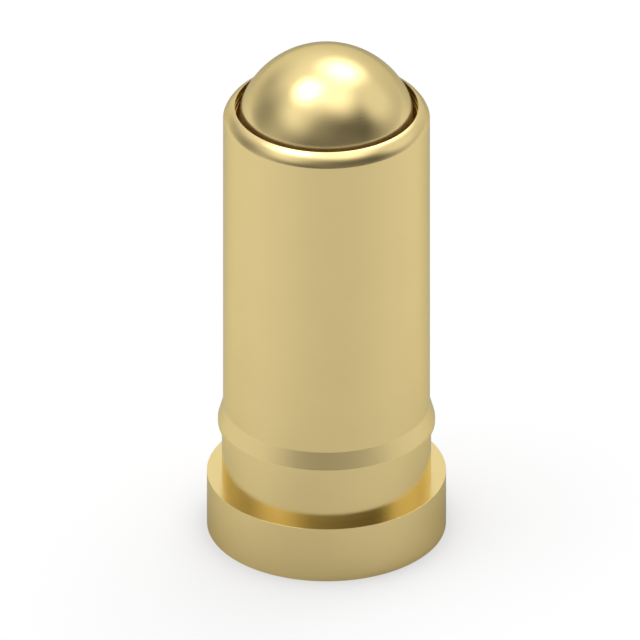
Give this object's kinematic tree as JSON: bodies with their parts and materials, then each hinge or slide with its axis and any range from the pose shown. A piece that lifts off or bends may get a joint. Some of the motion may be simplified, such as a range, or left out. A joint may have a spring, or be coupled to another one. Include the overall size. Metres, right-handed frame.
{
  "type": "pogo pin",
  "caption": "Spring-loaded contact pin with a domed plunger in a barrel with a rolled lip, a press-fit barb and a flat solder flange.",
  "frame": {"origin": "middle of the flange's underside, which is the face that is soldered to the board", "axes": "+Z along the pin, from the flange to the tip; the part is round, so X and Y are any two square directions"},
  "size_m": [0.002, 0.002, 0.0047],
  "materials": {
    "barrel_plating": "satin gold plate over nickel on turned brass",
    "plunger_plating": "bright satin gold plate over nickel on turned brass",
    "spring_wire": "drawn stainless spring wire, ends ground flat"
  },
  "bodies": {
    "barrel_body": {"barrel": "barrel_plating", "spring": "spring_wire"},
    "plunger_body": {"plunger": "plunger_plating"}
  },
  "joints": [
    {"name": "plunger_slide", "type": "slide", "parent": "barrel_body", "child": "plunger_body", "axis": [0, 0, -1], "range_m": [0, 0.00045], "stiffness_N_per_m": 550, "deforming": ["spring"]}
  ]
}
